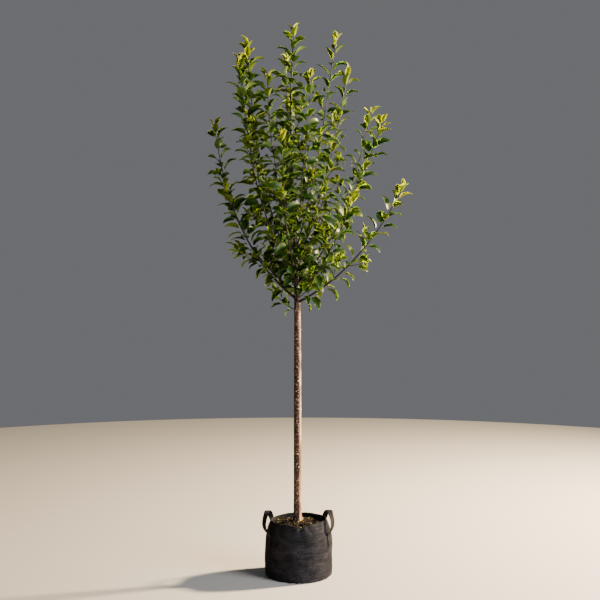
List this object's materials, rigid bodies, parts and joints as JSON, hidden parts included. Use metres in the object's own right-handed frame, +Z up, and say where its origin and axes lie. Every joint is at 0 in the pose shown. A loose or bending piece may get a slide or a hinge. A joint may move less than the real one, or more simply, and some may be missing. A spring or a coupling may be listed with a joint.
{
  "type": "young standard tree in a fabric grow bag",
  "caption": "Tall clear-stemmed young tree with an upright open leafy head, standing in a round felt grow bag with two webbing handles.",
  "frame": {"origin": "middle of the bag's flat underside, on the surface that it stands on", "axes": "+Z up the trunk, +X to the right as seen from the front, +Y to the back"},
  "size_m": [1.141, 0.878, 3.0782],
  "materials": {
    "bag_felt": "charcoal black needle-punched felt, matte",
    "webbing": "black woven polypropylene webbing, low sheen",
    "compost": "moist compost topped with shredded bark, matte",
    "bark": "smooth purplish brown young bark with pale lenticels, satin",
    "foliage": "glossy dark green leaves, yellow-green at the shoot tips"
  },
  "bodies": {
    "root": {"bough_back_inner": "bark", "bough_back_left": "bark", "bough_back_mid": "bark", "bough_back_right": "bark", "bough_front_inner": "bark", "bough_front_low": "bark", "bough_left_front": "bark", "bough_left_inner": "bark", "bough_left_low": "bark", "bough_left_mid": "bark", "bough_left_upper": "bark", "bough_right_back": "bark", "bough_right_front": "bark", "bough_right_inner": "bark", "bough_right_low": "bark", "bough_right_mid": "bark", "bough_right_upper": "bark", "compost": "compost", "grow_bag": "bag_felt", "handle_left": "webbing", "handle_right": "webbing", "leaves_back_inner": "foliage", "leaves_back_left": "foliage", "leaves_back_mid": "foliage", "leaves_back_right": "foliage", "leaves_front_inner": "foliage", "leaves_front_low": "foliage", "leaves_leader": "foliage", "leaves_left_front": "foliage", "leaves_left_inner": "foliage", "leaves_left_low": "foliage", "leaves_left_mid": "foliage", "leaves_left_upper": "foliage", "leaves_right_back": "foliage", "leaves_right_front": "foliage", "leaves_right_inner": "foliage", "leaves_right_low": "foliage", "leaves_right_mid": "foliage", "leaves_right_upper": "foliage", "leaves_spray_01": "foliage", "leaves_spray_02": "foliage", "leaves_spray_03": "foliage", "leaves_spray_04": "foliage", "leaves_spray_05": "foliage", "leaves_spray_06": "foliage", "leaves_spray_07": "foliage", "leaves_spray_08": "foliage", "leaves_spray_09": "foliage", "leaves_spray_10": "foliage", "leaves_spray_11": "foliage", "leaves_spray_12": "foliage", "leaves_spray_13": "foliage", "leaves_spray_14": "foliage", "leaves_spray_15": "foliage", "trunk": "bark"}
  },
  "joints": []
}
